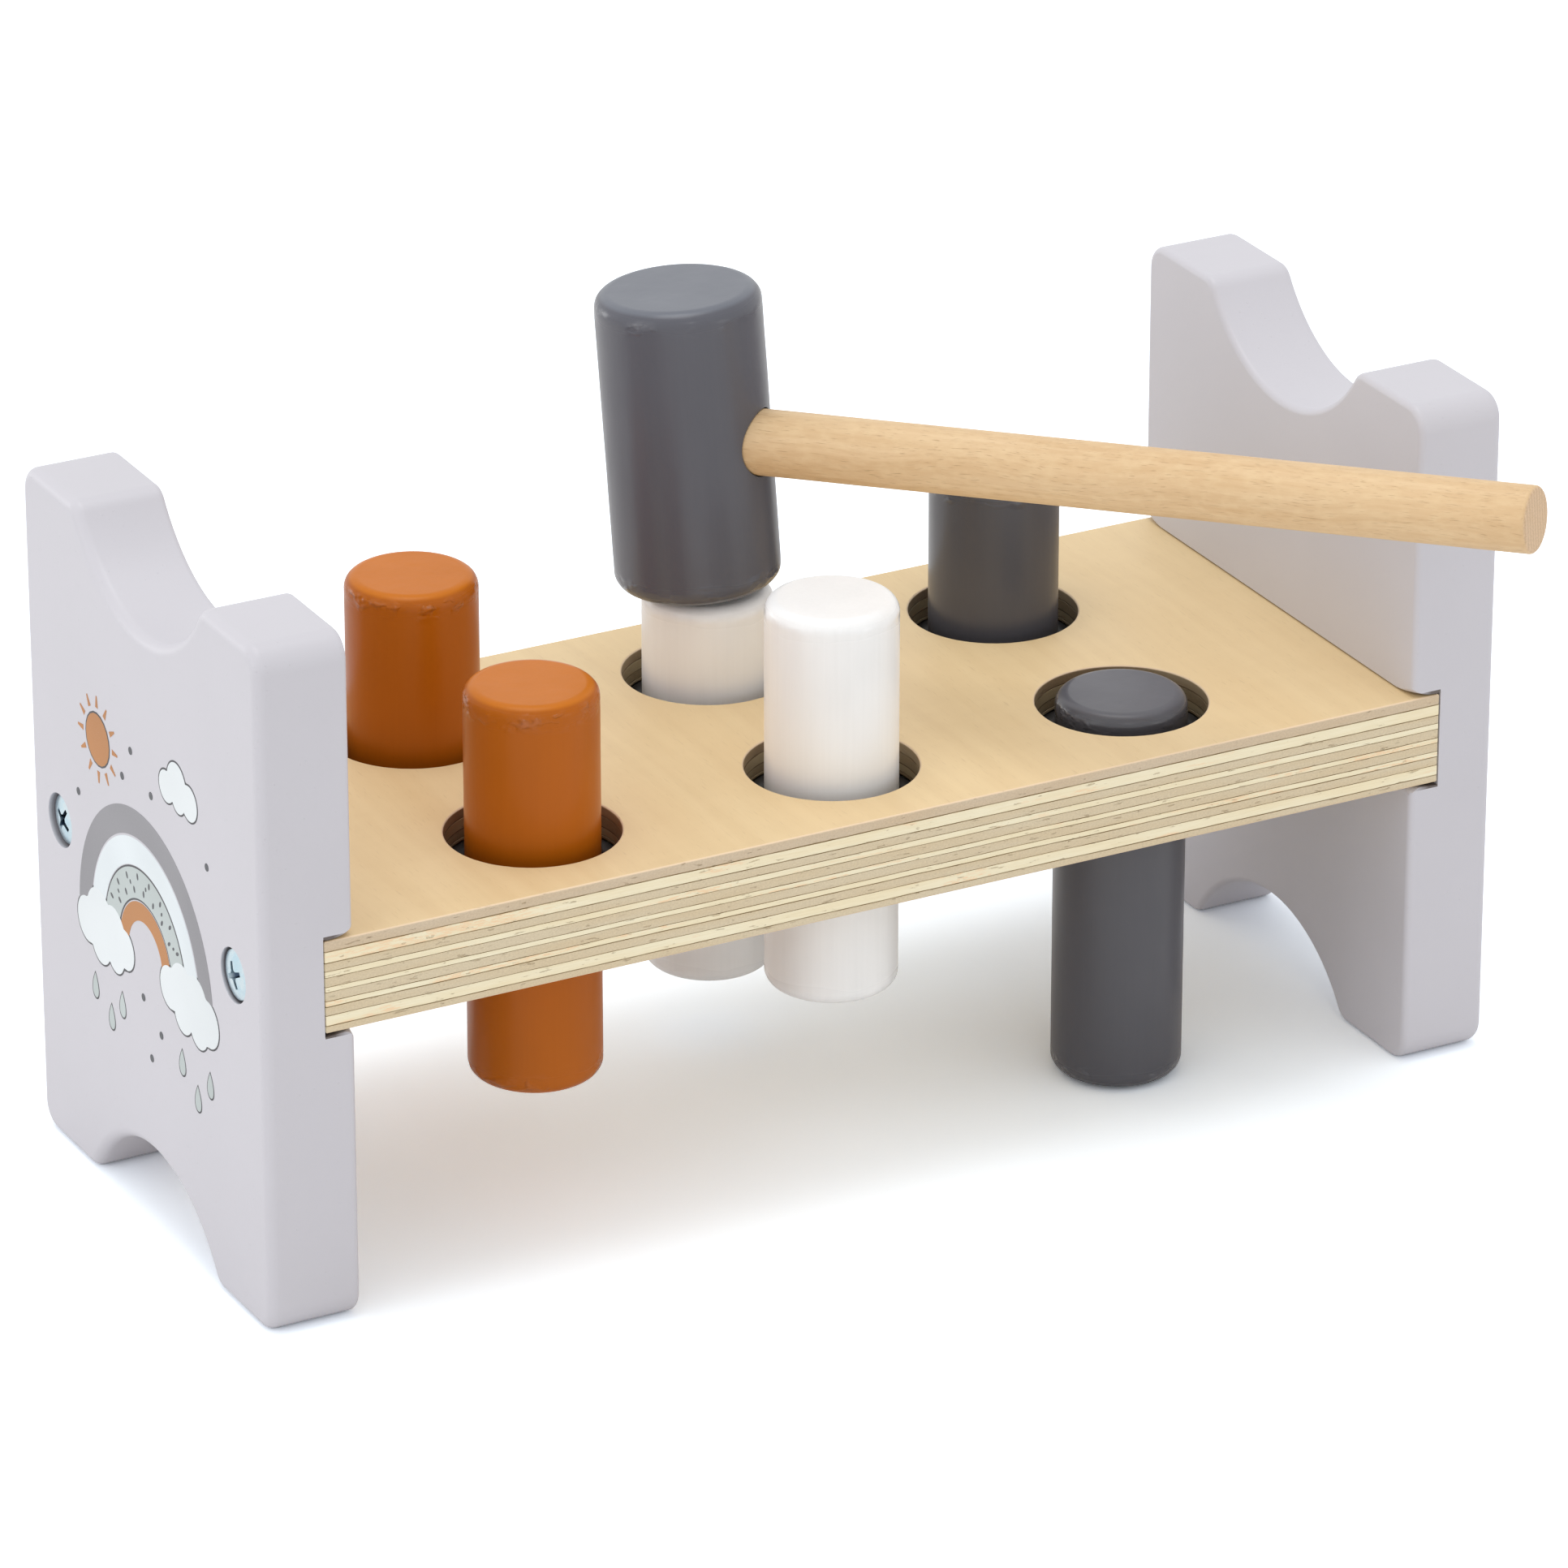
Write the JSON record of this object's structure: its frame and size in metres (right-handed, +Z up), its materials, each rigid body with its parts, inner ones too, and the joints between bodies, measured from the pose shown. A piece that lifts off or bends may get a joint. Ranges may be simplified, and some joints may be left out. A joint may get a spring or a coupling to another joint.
{
  "type": "peg pounding bench",
  "caption": "Wooden toy bench: painted end panels carry a plywood board with round pegs that a wooden hammer drives through rubber grip rings.",
  "frame": {"origin": "on the table, under the middle of the bench between its four feet", "axes": "+X along the bench to the right end panel, +Y from front to back, +Z up"},
  "size_m": [0.255, 0.1598, 0.1526],
  "materials": {
    "panel_paint": "pale lilac grey lacquer on wood, satin",
    "plywood": "clear lacquered birch plywood, light and dark plies on its edges",
    "rust_paint": "rust orange lacquer on wood, half gloss",
    "white_paint": "white lacquer on wood, half gloss",
    "grey_paint": "dark grey lacquer on wood, half gloss",
    "dowel_wood": "bare birch dowel, sanded",
    "rubber": "black rubber cord, satin",
    "zinc": "bright zinc plated steel"
  },
  "bodies": {
    "bench": {"left_end_panel": "panel_paint", "right_end_panel": "panel_paint", "peg_board": "plywood", "ring_left_front": "rubber", "ring_left_back": "rubber", "ring_middle_front": "rubber", "ring_middle_back": "rubber", "ring_right_front": "rubber", "ring_right_back": "rubber", "screw_left_front": "zinc", "screw_left_back": "zinc", "screw_right_front": "zinc", "screw_right_back": "zinc"},
    "rust_peg_front": {"rust_peg_front": "rust_paint"},
    "rust_peg_back": {"rust_peg_back": "rust_paint"},
    "white_peg_front": {"white_peg_front": "white_paint"},
    "white_peg_back": {"white_peg_back": "white_paint"},
    "grey_peg_front": {"grey_peg_front": "grey_paint"},
    "grey_peg_back": {"grey_peg_back": "grey_paint"},
    "hammer": {"hammer_head": "grey_paint", "hammer_handle": "dowel_wood"}
  },
  "joints": [
    {"name": "rust_peg_front_slide", "type": "slide", "parent": "bench", "child": "rust_peg_front", "axis": [0, 0, 1], "range_m": [-0.0271, 0.0281]},
    {"name": "rust_peg_back_slide", "type": "slide", "parent": "bench", "child": "rust_peg_back", "axis": [0, 0, 1], "range_m": [-0.0301, 0.0251]},
    {"name": "white_peg_front_slide", "type": "slide", "parent": "bench", "child": "white_peg_front", "axis": [0, 0, 1], "range_m": [-0.0314, 0.0238]},
    {"name": "white_peg_back_slide", "type": "slide", "parent": "bench", "child": "white_peg_back", "axis": [0, 0, 1], "range_m": [-0.0153, 0]},
    {"name": "grey_peg_front_slide", "type": "slide", "parent": "bench", "child": "grey_peg_front", "axis": [0, 0, 1], "range_m": [0, 0.0552]},
    {"name": "grey_peg_back_slide", "type": "slide", "parent": "bench", "child": "grey_peg_back", "axis": [0, 0, 1], "range_m": [-0.0281, 0.0271]},
    {"name": "hammer_lift", "type": "slide", "parent": "bench", "child": "hammer", "axis": [0, 0, 1], "range_m": [0, 0.12]}
  ]
}
